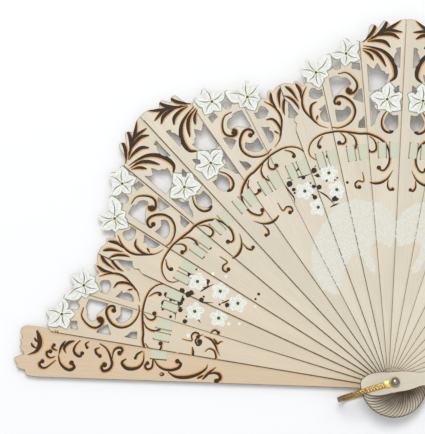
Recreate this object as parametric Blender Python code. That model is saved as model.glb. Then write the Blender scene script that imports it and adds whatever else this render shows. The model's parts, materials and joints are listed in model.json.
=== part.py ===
"""Painted wooden brise fan: 21 pierced sticks between two guards, on one rivet.

Every blade turns on the rivet's axis, which is the Z axis. The left guard lies lowest and
the right guard highest. A flat ribbon is threaded through slits in each stick, and a brass
bail straddles the stack and swings on the same rivet.
"""
import math

import bmesh
import bpy
from mathutils import Matrix

MM = 0.001

# Driving dimensions, in millimetres and degrees.
STICKS = 21
SPREAD_DEG = 168.2          # from the left guard's centre line to the right guard's
LEAF_R = 209.0              # rivet to the tip of the tallest leaf
TAIL = 19.3                 # rivet to the round end behind it
NECK_HALF = 2.9             # half width to which a stick's edges run at the rivet
RIM_OVERLAP = 2.5           # how far one stick covers the next at the rim
HEAD_HALF = 6.7             # widest half width behind the rivet
STICK_NECK_R = 9.5          # where a stick's head runs into its straight edges
GUARD_NECK_R = 15.0         # the same on a guard, whose head is longer
STICK_T = 0.45
GUARD_T = 1.5
GUARD_NARROWER = 0.5        # how much less half width a guard has at the rim
LAYER_GAP = 0.20            # air between two layers of the stack
PIN_R = 1.2
PIN_CLEAR = 0.15            # radial, between the pin and each hole
REAR_HEAD_R = 2.8
REAR_HEAD_T = 0.8
WASHER_R = 2.8
WASHER_T = 0.4
DOME_R = 2.4
DOME_H = 2.1
SOCKET_DEPTH = 1.0
SEAT_GAP = 0.1              # between the washer, the dome and the pin's end
BAIL_LENGTH = 32.5          # rivet to the far side of the closed end
BAIL_BEND = 8.0             # depth of the round closed end
BAIL_WIDTH = 3.0
BAIL_T = 0.9
BAIL_EYE_R = 2.7
BAIL_COLLAR = (3.0, 5.6)    # where the plain collar beside the eye starts and ends
BAIL_COLLAR_WIDTH = 3.6
BAIL_DEG = 196.0            # the way it points, from +X
RIBBON_R = 132.5            # rivet to the middle of the ribbon
RIBBON_WIDTH = 8.6
RIBBON_T = 0.06
RIBBON_CLEAR = 0.02         # from a stick's face
SLIT_OFFSETS = (5.6, 9.8, 12.2)   # from a stick's left edge
SLIT_WIDTH = 0.6
SLIT_END_CLEAR = 0.3
RIBBON_TUCK = 2.0           # how far the ribbon runs under the next stick
RIBBON_EDGE = 0.8           # where it starts behind a stick, from its left edge
GUARD_SLIT = 5.0            # left guard's slit, outside the first stick's edge
GUARD_RIBBON_END = 9.0      # glued end behind or on a guard

# Worked out from them.
PITCH = math.radians(SPREAD_DEG / (STICKS + 1))
RIM_HALF = LEAF_R * math.sin(PITCH / 2) + RIM_OVERLAP / 2
EDGE_SLOPE = (RIM_HALF - NECK_HALF) / LEAF_R
GUARD_SLOPE = EDGE_SLOPE - GUARD_NARROWER / LEAF_R
LAYER = STICK_T + LAYER_GAP
BAIL_REAR_Z = REAR_HEAD_T + LAYER_GAP
LEFT_GUARD_Z = BAIL_REAR_Z + BAIL_T + LAYER_GAP
FIRST_STICK_Z = LEFT_GUARD_Z + GUARD_T + LAYER_GAP
RIGHT_GUARD_Z = FIRST_STICK_Z + STICKS * LAYER
BAIL_FRONT_Z = RIGHT_GUARD_Z + GUARD_T + LAYER_GAP
WASHER_Z = BAIL_FRONT_Z + BAIL_T + LAYER_GAP
DOME_Z = WASHER_Z + WASHER_T + SEAT_GAP

# The ornament is drawn on a grid: across, a stick's share of the rim is GRID_CELL wide,
# and up, the tallest leaf stands at GRID_TOP above the rivet.
GRID_CELL = 25.36
GRID_TOP = 209.0

# Rim of each of the three designs, left to right, on the grid.
LEAF_RIM = [
    (0.0, 173.6), (0.0, 181.2), (1.6, 181.9), (4.4, 181.6), (6.6, 180.6), (8.1, 179.6),
    (9.5, 181.0), (10.8, 180.9), (12.2, 179.0), (13.4, 177.0), (15.6, 178.3), (17.2, 180.2),
    (15.2, 182.6), (13.7, 186.6), (16.2, 187.4), (17.9, 187.6), (18.4, 190.4), (20.0, 192.3),
    (22.6, 190.4), (24.6, 187.7), (25.9, 188.3), (27.6, 186.8)]
BLOSSOM_RIM = [
    (25.36, 188.0), (27.4, 189.4), (30.6, 191.6), (33.6, 192.1), (36.6, 193.4), (39.2, 195.4),
    (40.4, 198.2), (41.8, 200.0), (44.2, 199.0), (46.2, 196.6), (48.8, 197.3), (50.8, 196.9),
    (53.2, 194.6)]
CREST_RIM = [
    (50.72, 196.0), (52.6, 196.6), (54.4, 198.0), (55.9, 201.4), (56.7, 205.0), (58.2, 206.2),
    (60.0, 205.4), (61.3, 203.6), (62.6, 205.9), (64.4, 208.1), (66.1, 207.6), (67.9, 205.2),
    (70.6, 206.9), (73.4, 208.6), (76.2, 209.0), (78.4, 208.5)]
# Curved cut in a leaf stick's left edge, from the rim down.
LEAF_NOTCH = [
    (0.6, 172.4), (2.4, 169.6), (3.6, 165.8), (5.2, 162.2), (2.8, 161.2), (1.2, 159.4),
    (2.4, 157.0), (0.8, 155.2), (0.0, 152.6)]

# Piercings of each design, on the grid.
LEAF_HOLES = [
    [(15.8, 170.2), (16.6, 172.8), (18.3, 174.4), (20.0, 174.1), (21.4, 172.6), (23.0, 172.0),
     (24.3, 172.8), (24.3, 168.9), (20.8, 168.0), (17.8, 168.4)],
    [(19.6, 161.4), (22.2, 162.2), (24.3, 163.5), (24.3, 153.0), (22.0, 153.8), (20.2, 155.3),
     (19.5, 157.2), (20.0, 159.0), (21.3, 160.2)]]
BLOSSOM_HOLES = [
    [(33.0, 185.0), (34.2, 186.6), (35.2, 188.2), (36.6, 187.5), (38.4, 187.9), (38.6, 185.4),
     (38.0, 182.6), (36.0, 181.8), (34.2, 182.8)],
    [(44.8, 181.2), (45.4, 184.8), (47.4, 184.3), (49.6, 184.0), (49.6, 179.9), (47.2, 180.9)],
    [(30.2, 177.6), (33.4, 178.0), (36.4, 177.8), (37.4, 176.6), (39.8, 176.6), (42.2, 174.9),
     (43.3, 172.6), (41.6, 171.2), (39.0, 171.0), (36.4, 169.8), (33.8, 168.0), (30.2, 166.2)],
    [(43.4, 163.8), (45.6, 166.8), (47.6, 168.4), (49.6, 169.2), (49.6, 161.0), (46.6, 162.4)],
    [(30.2, 159.0), (32.6, 158.4), (35.4, 157.9), (37.4, 158.9), (38.8, 160.0), (40.4, 158.6),
     (40.8, 156.8), (39.4, 154.8), (36.8, 152.9), (33.8, 152.0), (30.2, 152.2)],
    [(44.6, 146.8), (45.8, 150.2), (48.0, 151.4), (49.6, 153.2), (49.6, 146.2)]]
CREST_HOLES = [
    [(54.2, 183.0), (56.0, 180.8), (57.9, 179.6), (59.2, 181.5), (60.3, 183.2), (61.5, 180.8),
     (62.5, 178.8), (64.2, 178.2), (65.2, 176.8), (67.2, 176.8), (66.4, 174.2), (65.0, 171.4),
     (62.6, 169.2), (59.0, 167.5), (54.2, 166.8)],
    [(70.2, 184.4), (70.8, 188.4), (72.0, 190.0), (71.2, 191.6), (73.6, 192.6), (73.6, 180.4),
     (71.9, 181.6)],
    [(69.9, 167.2), (71.6, 169.0), (73.6, 170.2), (73.6, 166.2), (71.2, 165.3)],
    [(54.2, 162.8), (56.0, 161.2), (58.3, 160.3), (57.0, 158.8), (57.2, 157.2), (59.0, 155.8),
     (61.0, 155.0), (59.4, 153.4), (57.9, 151.2), (56.8, 148.6), (54.2, 146.6)],
    [(63.9, 148.6), (65.2, 151.8), (67.2, 154.2), (69.2, 152.9), (71.2, 152.4), (73.6, 152.9),
     (73.6, 146.4), (71.6, 144.2), (68.8, 143.9), (65.9, 145.2)]]

# A guard's scalloped end: across from its centre line (outer side negative), and up.
GUARD_RIM = [
    (-1.0, 199.0), (-0.98, 203.0), (-0.93, 206.2), (-0.75, 206.8), (-0.67, 211.6),
    (-0.54, 211.5), (-0.40, 213.6), (-0.28, 213.0), (-0.20, 210.2), (-0.12, 208.1),
    (-0.03, 209.2), (0.11, 211.2), (0.25, 210.2), (0.38, 211.3), (0.50, 209.9),
    (0.70, 211.5), (0.88, 210.6), (0.97, 208.9), (0.99, 205.5), (1.0, 199.0)]
# The head: across as a share of HEAD_HALF, and up as a share of TAIL.
HEAD_SHAPE = [
    (0.0, -1.0), (0.44, -0.965), (0.80, -0.80), (0.98, -0.57), (0.97, -0.30), (0.85, 0.0)]
# The last point of the head before the neck, in the same shares.
STICK_SHOULDER = (0.60, 0.33)
GUARD_SHOULDER = (0.80, 0.36)
HOLE_SIDES = 14
TURNED_SIDES = 28


def half_width(radius, slope=EDGE_SLOPE):
    """Half width of a blade at a distance from the rivet."""
    return NECK_HALF + slope * radius


def edge_angle(radius, slope=EDGE_SLOPE):
    """Angle between a blade's centre line and its edge at that distance."""
    return math.asin(half_width(radius, slope) / radius)


def from_grid(point, cell):
    """A grid point of a design as a point on its own stick, in millimetres."""
    across, up = point
    radius = up * LEAF_R / GRID_TOP
    turn = edge_angle(radius) - (across / GRID_CELL - cell) * PITCH
    return (-radius * math.sin(turn), radius * math.cos(turn))


def edge_point(radius, side, slope=EDGE_SLOPE):
    """A point on a blade's edge: side is -1 for the left and 1 for the right."""
    turn = side * edge_angle(radius, slope)
    return (radius * math.sin(turn), radius * math.cos(turn))


def head_outline(slope, shoulder, neck_r):
    """The head, from the right neck round the tail to the left neck."""
    right = [(HEAD_HALF * x, TAIL * y) for x, y in HEAD_SHAPE + [shoulder]]
    left = [(-x, y) for x, y in right[1:]]
    return [edge_point(neck_r, 1, slope)] + right[::-1] + left + [edge_point(neck_r, -1, slope)]


def circle(radius, sides):
    step = 2 * math.pi / sides
    return [(radius * math.cos(k * step), radius * math.sin(k * step)) for k in range(sides)]


def box_outline(x0, x1, y0, y1):
    return [(x0, y0), (x1, y0), (x1, y1), (x0, y1)]


def slit(x):
    """A slit for the ribbon, across the stick at x."""
    reach = RIBBON_WIDTH / 2 + SLIT_END_CLEAR
    return box_outline(x - SLIT_WIDTH / 2, x + SLIT_WIDTH / 2, RIBBON_R - reach, RIBBON_R + reach)


def slit_places():
    left = -half_width(RIBBON_R)
    return [left + offset for offset in SLIT_OFFSETS]


def mirrored(points):
    return [(-x, y) for x, y in points]


def stick_design(kind, flipped):
    """Outline and openings of a stick, in millimetres on its own centre line."""
    rim, holes, notch, cell = {
        "leaf": (LEAF_RIM, LEAF_HOLES, LEAF_NOTCH, 0),
        "blossom": (BLOSSOM_RIM, BLOSSOM_HOLES, [], 1),
        "crest": (CREST_RIM, CREST_HOLES, [], 2)}[kind]
    rim = [from_grid(p, cell) for p in rim]
    notch = [from_grid(p, cell) for p in notch]
    holes = [[from_grid(p, cell) for p in hole] for hole in holes]
    sides = notch[::-1] + rim
    if flipped:
        sides = mirrored(sides)[::-1]
        holes = [mirrored(hole) for hole in holes]
    outline = head_outline(EDGE_SLOPE, STICK_SHOULDER, STICK_NECK_R) + sides
    openings = holes + [slit(x) for x in slit_places()] + [circle(PIN_R + PIN_CLEAR, HOLE_SIDES)]
    return outline, openings


def guard_design(flipped):
    """Outline and openings of a guard; the left one carries a slit for the ribbon."""
    rim = []
    for across, up in GUARD_RIM:
        radius = up * LEAF_R / GRID_TOP
        rim.append((across * half_width(radius, GUARD_SLOPE), radius))
    openings = [circle(PIN_R + PIN_CLEAR, HOLE_SIDES)]
    if flipped:
        rim = mirrored(rim)[::-1]
    else:
        openings.append(slit(guard_slit_x()))
    return head_outline(GUARD_SLOPE, GUARD_SHOULDER, GUARD_NECK_R) + rim, openings


def next_edge_x():
    """Where the next stick's left edge crosses a blade, at the ribbon."""
    return RIBBON_R * math.sin(PITCH - edge_angle(RIBBON_R))


def guard_slit_x():
    return next_edge_x() - GUARD_SLIT


def prism(loops, bottom, top):
    """A closed solid from an outline and its openings."""
    bm = bmesh.new()
    for loop in loops:
        verts = [bm.verts.new((x * MM, y * MM, bottom * MM)) for x, y in loop]
        for a, b in zip(verts, verts[1:] + verts[:1]):
            bm.edges.new((a, b))
    bmesh.ops.triangle_fill(bm, use_beauty=True, use_dissolve=False, edges=bm.edges[:])
    raised = bmesh.ops.extrude_face_region(bm, geom=bm.faces[:], use_keep_orig=True)
    verts = [item for item in raised["geom"] if isinstance(item, bmesh.types.BMVert)]
    bmesh.ops.translate(bm, vec=(0, 0, (top - bottom) * MM), verts=verts)
    bmesh.ops.recalc_face_normals(bm, faces=bm.faces[:])
    return bm


def band(path, across_low, across_high, thickness):
    """A strip that follows a stepped path in X and Z, and is wide along Y."""
    half = thickness / 2
    sides = ([], [])
    for k, (x, z) in enumerate(path):
        before = path[k - 1] if k else None
        after = path[k + 1] if k + 1 < len(path) else None
        offset_x = 0.0
        offset_z = 0.0
        for start, end in ((before, (x, z)), ((x, z), after)):
            if start is None or end is None:
                continue
            if start[0] == end[0]:
                offset_x = -half if end[1] > start[1] else half
            else:
                offset_z = half if end[0] > start[0] else -half
        sides[0].append((x + offset_x, z + offset_z))
        sides[1].append((x - offset_x, z - offset_z))
    outline = sides[0] + sides[1][::-1]
    bm = prism([outline], across_low, across_high)
    bmesh.ops.transform(bm, matrix=Matrix(((1, 0, 0, 0), (0, 0, 1, 0), (0, 1, 0, 0), (0, 0, 0, 1))),
                        verts=bm.verts[:])
    bmesh.ops.recalc_face_normals(bm, faces=bm.faces[:])
    return bm


def turned(profile, sides=TURNED_SIDES):
    """A solid of revolution about Z from (radius, height) points; a zero radius closes it."""
    bm = bmesh.new()
    verts = [bm.verts.new((r * MM, 0, z * MM)) for r, z in profile]
    edges = [bm.edges.new(pair) for pair in zip(verts, verts[1:])]
    if profile[0][0] > 0:
        edges.append(bm.edges.new((verts[-1], verts[0])))
    bmesh.ops.spin(bm, geom=verts + edges, cent=(0, 0, 0), axis=(0, 0, 1),
                   angle=2 * math.pi, steps=sides, use_merge=True)
    bmesh.ops.remove_doubles(bm, verts=bm.verts[:], dist=0.000001)
    bmesh.ops.recalc_face_normals(bm, faces=bm.faces[:])
    return bm


def material(name, color, roughness, metallic=0.0):
    mat = bpy.data.materials.new(name)
    mat.use_nodes = True
    shader = mat.node_tree.nodes["Principled BSDF"]
    shader.inputs["Base Color"].default_value = (*color, 1.0)
    shader.inputs["Roughness"].default_value = roughness
    shader.inputs["Metallic"].default_value = metallic
    return mat


def add_object(name, bm, mat, z=0.0, turn=0.0, smooth=False):
    """Put a solid in the scene, with its origin on the rivet's axis."""
    mesh = bpy.data.meshes.new(name)
    bm.to_mesh(mesh)
    bm.free()
    mesh.materials.append(mat)
    if smooth:
        mesh.shade_smooth()
        mesh.set_sharp_from_angle(angle=math.radians(35))
    obj = bpy.data.objects.new(name, mesh)
    obj.location = (0, 0, z * MM)
    obj.rotation_euler = (0, 0, turn)
    bpy.context.collection.objects.link(obj)
    return obj


def blade_turn(index):
    """How far blade number index is turned from +Y: 0 is the left guard."""
    return ((STICKS + 1) / 2 - index) * PITCH


def stick_z(index):
    return FIRST_STICK_Z + (index - 1) * LAYER


def design_of(index):
    """Design of stick 1 to STICKS: the six-stick repeat starts part way through."""
    order = [("blossom", True), ("leaf", True), ("leaf", False), ("blossom", False),
             ("crest", False), ("crest", True)]
    return order[(index - 1) % len(order)]


def make_sticks(wood):
    for index in range(1, STICKS + 1):
        outline, openings = stick_design(*design_of(index))
        bm = prism([outline] + openings, 0.0, STICK_T)
        add_object(f"stick_{index:02d}", bm, wood, stick_z(index), blade_turn(index))


def make_guards(wood):
    for name, flipped, z, index in (("left_guard", False, LEFT_GUARD_Z, 0),
                                    ("right_guard", True, RIGHT_GUARD_Z, STICKS + 1)):
        outline, openings = guard_design(flipped)
        bm = prism([outline] + openings, 0.0, GUARD_T)
        add_object(name, bm, wood, z, blade_turn(index))


def ribbon_levels(thickness):
    """Heights of the ribbon's middle behind and in front of a blade."""
    off = RIBBON_CLEAR + RIBBON_T / 2
    return -off, thickness + off


def make_ribbons(silk):
    low = RIBBON_R - RIBBON_WIDTH / 2
    high = RIBBON_R + RIBBON_WIDTH / 2
    reach = next_edge_x() + RIBBON_TUCK
    first, second, third = slit_places()
    back, front = ribbon_levels(STICK_T)
    start = -half_width(RIBBON_R) + RIBBON_EDGE
    woven = [(start, back), (first, back), (first, front), (second, front), (second, back),
             (third, back), (third, front), (reach, front)]
    for index in range(1, STICKS + 1):
        add_object(f"ribbon_{index:02d}", band(woven, low, high, RIBBON_T), silk,
                   stick_z(index), blade_turn(index))
    guard_back, guard_front = ribbon_levels(GUARD_T)
    x = guard_slit_x()
    left_end = [(x - GUARD_RIBBON_END, guard_back), (x, guard_back), (x, guard_front),
                (reach, guard_front)]
    add_object("ribbon_left_end", band(left_end, low, high, RIBBON_T), silk,
               LEFT_GUARD_Z, blade_turn(0))
    right_end = [(start, guard_back), (start + GUARD_RIBBON_END, guard_back)]
    add_object("ribbon_right_end", band(right_end, low, high, RIBBON_T), silk,
               RIGHT_GUARD_Z, blade_turn(STICKS + 1))


def make_rivet(brass, steel):
    pin_top = DOME_Z + SOCKET_DEPTH - SEAT_GAP
    pin = turned([(0, 0), (REAR_HEAD_R - 0.3, 0), (REAR_HEAD_R, 0.3), (REAR_HEAD_R, REAR_HEAD_T),
                  (PIN_R, REAR_HEAD_T), (PIN_R, pin_top), (0, pin_top)])
    add_object("rivet_pin", pin, brass, smooth=True)
    bore = PIN_R + PIN_CLEAR
    washer = turned([(bore, 0), (WASHER_R, 0), (WASHER_R, WASHER_T), (bore, WASHER_T)])
    add_object("rivet_washer", washer, brass, WASHER_Z, smooth=True)
    steps = 6
    crown = []
    for k in range(steps):
        angle = math.pi / 2 * k / steps
        crown.append((DOME_R * math.cos(angle), 0.3 + (DOME_H - 0.3) * math.sin(angle)))
    dome = turned([(0, SOCKET_DEPTH), (bore, SOCKET_DEPTH), (bore, 0), (DOME_R, 0)] + crown
                  + [(0, DOME_H)])
    add_object("rivet_dome", dome, steel, DOME_Z, smooth=True)


def bail_stations():
    """Path and width of the bail, from the front eye round to the rear eye."""
    front = BAIL_FRONT_Z + BAIL_T / 2
    rear = BAIL_REAR_Z + BAIL_T / 2
    arm = []
    for share in (-0.98, -0.82, -0.5, 0.0, 0.5, 0.78):
        arm.append((share * BAIL_EYE_R, 2 * BAIL_EYE_R * math.sqrt(1 - share * share)))
    start, end = BAIL_COLLAR
    arm += [(start - 0.3, BAIL_WIDTH), (start, BAIL_COLLAR_WIDTH), (end, BAIL_COLLAR_WIDTH),
            (end + 0.3, BAIL_WIDTH)]
    straight = BAIL_LENGTH - BAIL_BEND
    arm.append((straight, BAIL_WIDTH))
    middle = (front + rear) / 2
    rise = (front - rear) / 2
    depth = BAIL_BEND - BAIL_T / 2
    bend = []
    steps = 14
    for k in range(1, steps):
        angle = math.pi * k / steps
        bend.append((straight + depth * math.sin(angle), middle + rise * math.cos(angle),
                     BAIL_WIDTH, math.atan2(depth * math.cos(angle), -rise * math.sin(angle))))
    stations = [(d, front, width, math.pi / 2) for d, width in arm]
    stations += bend
    stations += [(d, rear, width, -math.pi / 2) for d, width in reversed(arm)]
    return stations


def make_bail(brass):
    """A flat strip bent to a U, with an eye at each end."""
    bm = bmesh.new()
    rings = []
    half = BAIL_T / 2
    for d, z, width, heading in bail_stations():
        off_d = -math.cos(heading) * half
        off_z = math.sin(heading) * half
        ring = []
        for side, out in ((-1, -1), (1, -1), (1, 1), (-1, 1)):
            ring.append(bm.verts.new(((d + out * off_d) * MM, side * width / 2 * MM,
                                      (z + out * off_z) * MM)))
        rings.append(ring)
    for a, b in zip(rings, rings[1:]):
        for k in range(4):
            bm.faces.new((a[k], a[(k + 1) % 4], b[(k + 1) % 4], b[k]))
    bm.faces.new(rings[0])
    bm.faces.new(rings[-1])
    bmesh.ops.recalc_face_normals(bm, faces=bm.faces[:])
    bail = add_object("bail", bm, brass, 0.0, math.radians(BAIL_DEG))
    reach = BAIL_FRONT_Z + 3 * BAIL_T
    hole = prism([circle(PIN_R + PIN_CLEAR, HOLE_SIDES)], -BAIL_T, reach)
    cutter = add_object("bail_eye_cutter", hole, brass, 0.0, math.radians(BAIL_DEG))
    cutter.hide_render = True
    cutter.display_type = "WIRE"
    cut = bail.modifiers.new("rivet_holes", "BOOLEAN")
    cut.operation = "DIFFERENCE"
    cut.object = cutter


def main():
    for obj in list(bpy.data.objects):
        bpy.data.objects.remove(obj, do_unlink=True)
    wood = material("pale_wood", (0.76, 0.63, 0.46), 0.55)
    guard_wood = material("guard_wood", (0.72, 0.56, 0.39), 0.55)
    silk = material("ribbon_silk", (0.58, 0.60, 0.47), 0.7)
    brass = material("gilt_brass", (0.72, 0.50, 0.17), 0.3, 1.0)
    steel = material("bright_steel", (0.55, 0.55, 0.56), 0.18, 1.0)
    make_sticks(wood)
    make_guards(guard_wood)
    make_ribbons(silk)
    make_rivet(brass, steel)
    make_bail(brass)


main()
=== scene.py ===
"""Painted wooden brise fan: pierced blades, painted ornament, ribbon, rivet and bail."""

import json
import math
import random

import bmesh
import bpy
from bpy.props import FloatProperty, FloatVectorProperty, IntProperty, PointerProperty
from mathutils import Matrix, Vector
from mathutils.geometry import delaunay_2d_cdt

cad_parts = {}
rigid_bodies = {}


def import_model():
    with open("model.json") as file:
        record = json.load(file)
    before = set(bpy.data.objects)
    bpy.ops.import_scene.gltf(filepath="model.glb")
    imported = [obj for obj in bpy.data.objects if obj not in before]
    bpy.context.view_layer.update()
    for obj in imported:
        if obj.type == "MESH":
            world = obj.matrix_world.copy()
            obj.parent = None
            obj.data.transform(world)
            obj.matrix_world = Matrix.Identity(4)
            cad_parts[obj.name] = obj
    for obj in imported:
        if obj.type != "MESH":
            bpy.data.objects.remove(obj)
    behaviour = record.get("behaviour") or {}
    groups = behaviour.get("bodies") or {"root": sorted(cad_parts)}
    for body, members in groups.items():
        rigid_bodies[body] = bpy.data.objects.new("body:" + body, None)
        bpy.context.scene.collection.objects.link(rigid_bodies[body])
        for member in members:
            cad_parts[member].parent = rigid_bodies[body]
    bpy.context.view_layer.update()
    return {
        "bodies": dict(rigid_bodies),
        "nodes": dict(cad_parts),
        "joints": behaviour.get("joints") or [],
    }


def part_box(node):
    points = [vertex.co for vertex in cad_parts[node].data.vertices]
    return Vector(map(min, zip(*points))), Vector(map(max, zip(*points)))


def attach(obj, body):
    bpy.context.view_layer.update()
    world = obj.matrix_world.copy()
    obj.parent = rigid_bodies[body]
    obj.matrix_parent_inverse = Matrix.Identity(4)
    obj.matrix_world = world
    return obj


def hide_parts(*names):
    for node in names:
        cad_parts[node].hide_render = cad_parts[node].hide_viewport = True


bl_info = {
    "name": "Painted Brise Fan",
    "version": (1, 0, 0),
    "blender": (4, 5, 0),
    "location": "View3D > Sidebar > Fan",
    "description": "Builds a painted folding fan around its packed frame",
    "category": "Object",
}

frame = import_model()

MM = 0.001
MERGE = 0.000001
SPREAD = math.radians(next(j for j in frame["joints"] if j["name"] == "fan_fold")["range_deg"][1])
STICK_COUNT = sum(name.startswith("stick_") for name in frame["bodies"])
PITCH = SPREAD / (STICK_COUNT + 1)
RIGHT_GUARD = STICK_COUNT + 1

# The ornament is drawn on a grid: across, one stick's share of the rim is CELL wide, and up,
# in millimetres from the rivet. It repeats every REPEAT sticks from FIRST_AXIS on, and the
# second half of each repeat mirrors the first.
CELL = 25.36
FIRST_AXIS = 3
REPEAT = 6
# The chart that the grain follows: how far it moves along and across from one blade to the
# next, and how much of it lies behind the rivet.
CHART_STEP = 310.0
CHART_SHIFT = 43.0
CHART_TAIL = 60.0
# A stick's straight edge: its distance from the middle line at the rivet, and its slope.
EDGE_AT_RIVET = 2.9
EDGE_SLOPE = 0.05878

# Sizes below are in millimetres, unless they are angles or shares.
# What the next blade covers stays bare: a sector from its edge, less a margin in radians.
COVER_RADII = range(14, 226, 12)
COVER_MARGIN = 0.0025
COVER_SWEEP = 0.5
COVER_FAR = 256.8
# A scorched line with painted shade follows each cut; it is wider round the head and along a
# stick's left edge.
RIM_WIDTH = 0.34
# Round the head the line is painted shade between the fanned heads, as well as a burnt edge.
HEAD_RIM_AND_SHADE = 0.75
HEAD_START = -1.5
# Along a stick's left edge the line is painted shade as well, widened on the left half where that
# edge is in shade.
EDGE_RIM_AND_SHADE = 0.65
EDGE_SHADE_WIDENING = 0.45
EDGE_RIM_RADII = range(8, 208, 6)
# Lace: its spacing, its rows' share of that, where they start, how far they go, and columns.
LACE_STEP = 2.35
LACE_ROW = 0.87
LACE_FROM = 54
LACE_TALL = 56
LACE_COLUMNS = 22

# Ribbon: it lies across the sticks at RIBBON_RADIUS, goes through slits at SLIT_OFFSETS from a
# stick's left edge, and its looped edge is made of picots.
RIBBON_RADIUS = 132.5
RIBBON_WIDTH = 8.6
RIBBON_HEM = 0.35
RIBBON_THICKNESS = 0.05
RIBBON_LIFT = 0.05
RIBBON_RAMP = 0.22
RIBBON_START = 0.8
RIBBON_TUCK = 2.0
RIBBON_SHIFT = 31.0
SLIT_OFFSETS = (5.6, 9.8, 12.2)
GUARD_SLIT = 5.0
GUARD_HOLD = 9.0
PICOT = 0.62
PICOT_DEPTH = 0.16

# Rivet.
PIN_RADIUS = 1.2
PIN_BORE = 1.35
PIN_LIP = 0.8
DOME_RIM = 0.3

# Bail: BAIL_CORE is the strip's share of the ornament's size, and the brass goes dull over the
# BAIL_DULLS distances from the rivet.
BAIL_TURN = math.radians(196)
BAIL_LENGTH = 32.5
BAIL_BEND = 8.0
BAIL_WIDTH = 3.0
BAIL_THICKNESS = 0.9
BAIL_CORE = (0.44, 0.46)
BAIL_EYE = 2.7
BAIL_COLLAR = (2.6, 5.6)
BAIL_COLLAR_WIDTH = 3.6
BAIL_LEAF = (1.05, 0.55, 0.44)
BAIL_LEAF_SIDE = 0.70
BAIL_LEAF_LEAN = 0.65
BAIL_BEAD = (0.38, 0.34, 0.34)
BAIL_BEAD_PLACE = (0.85, 0, 0.1)
BAIL_DULLS = (19.0, 32.0)

# Stage: the floor's gap below the fan, the room's light, and each lamp's name, place, aim and
# size in metres, and power in watts.
FLOOR_GAP = 0.2
ROOM_STRENGTH = 0.655
LIGHTS = (("window", (-0.22, 0.66, 1.58), (0, 0.07, 0), 0.9, 13.2),
          ("fill", (0.3, -0.5, 1.7), (0, 0.08, 0), 1.4, 2.8))
# Camera: its lens, its angles, and the rivet's place before it.
CAMERA_LENS = 165.9
CAMERA_TILT = math.radians(81.3)
CAMERA_ROLL = math.radians(-0.7)
CAMERA_OFFSET = (101.2, -94.46, -1128.6)


# ---------------------------------------------------------------- drawing data
# Each stroke: its greatest width, the radius of the blob at its end, or 0 where it has none,
# and its points across and up.
FROND = (
    (1.5, 0, (3, 180, 5.5, 176.5, 8, 169)),
    (1.5, 0, (9.5, 179.8, 11, 175, 10, 170)),
    (1.2, 0, (0.5, 175, 4, 172, 6.5, 167, 6.8, 164.3)),
    (1.2, 0, (19.5, 166.3, 15.5, 165, 13.6, 161, 14, 156.5, 16.5, 154)),
    (0.8, 0, (17.8, 158.5, 15.7, 155.5)),
    (1.6, 0, (60, 207, 59, 203, 56, 199, 52.5, 196)),
    (1.8, 0, (66.5, 209, 64.5, 204, 61, 200, 55, 196.5)),
    (1.6, 0, (74, 209.8, 68, 204, 62, 201)),
    (1.6, 0, (74.5, 201.5, 66, 202.5, 60, 200)),
    (1.7, 0, (73, 197.5, 69, 200, 63, 200, 57, 198.5)),
    (1.7, 0, (68, 192.3, 65, 195.5, 60, 196.5, 55, 196)),
    (2.0, 0, (67.5, 172, 71, 175, 71, 180, 68.5, 185.5, 64, 190, 58, 192.5, 52.5, 194)),
    (1.7, 0, (65.5, 181, 62, 187, 58, 190.5, 52, 192.5)),
    (1.4, 0, (58.3, 184.8, 56, 188.5, 52, 191.5)),
)
SCROLLS = (
    (1.0, 0, (15.5, 176.5, 11.5, 171.5, 9.8, 167, 10, 163, 12, 159, 17, 152.5, 23, 149.5)),
    (1.3, 1.1, (25.4, 149.5, 30, 148.3, 36, 149, 41, 151.5, 43.8, 156, 43, 160.5, 40, 164,
                36, 166.2, 33, 166.2, 31, 164.5, 31, 162.5, 33.5, 162.3)),
    (1.3, 1.0, (36, 179.3, 41, 179.3, 44.5, 176.5, 46.8, 172.5, 46.5, 169.5, 44, 167.3,
                41.5, 167, 40, 168.5, 41, 170.2, 42, 168.5)),
    (1.2, 0.9, (66.5, 156.3, 62.5, 151.5, 61.8, 147, 63.5, 144, 67.5, 142.5, 70, 143.3, 69, 144)),
    (1.1, 1.0, (8, 133.5, 4.5, 136.5, 4, 139.5, 7, 143.5, 12, 146, 18, 147, 25, 146.8, 30, 146.3,
                38, 144.6, 45.5, 143, 50, 142.7, 57, 140.5, 63, 137.3, 66.5, 133.5, 67.8, 129,
                67, 124.5, 63, 121, 60.5, 121, 58.5, 122.5)),
    (1.0, 0.9, (17.5, 146, 13, 143, 12, 140.5, 13, 140.3)),
    (1.0, 1.0, (30.5, 145.5, 33.3, 142.5, 33.5, 140, 31, 138.8, 28.5, 139.8)),
    (1.0, 0.8, (36, 144.5, 40, 142, 41.5, 138.5, 40.5, 135.5, 37, 133.5)),
    (1.0, 1.0, (52, 141, 55.5, 138.5, 57, 135.5, 56.5, 132.8, 53.5, 131.8, 50.5, 132.5)),
    (1.1, 0, (49, 114.5, 54, 113.5, 60, 113.8, 66, 116, 71, 120.8)),
    (1.0, 0.8, (66.5, 115.5, 66, 111.5, 68.5, 109.3, 71, 109.8)),
    (0.9, 0.9, (43.5, 121, 43.5, 115.5, 39, 116.3, 35.5, 115, 36, 112.5, 39, 112.5)),
)
# Each lily: its middle and the tips of its petals.
LILIES = (
    ((23.3, 182.8), ((13.8, 187), (19.8, 192), (33, 191), (30, 179.5), (23, 174), (17, 178.5))),
    ((42.5, 190.5), ((41.8, 200), (50, 196.5), (50, 186.5), (41, 183.5), (33.5, 192.3))),
    ((66.0, 162.0), ((67.5, 171.5), (76, 165), (75, 156), (68.5, 154.5), (60, 156.5), (55, 164))),
)

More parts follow.
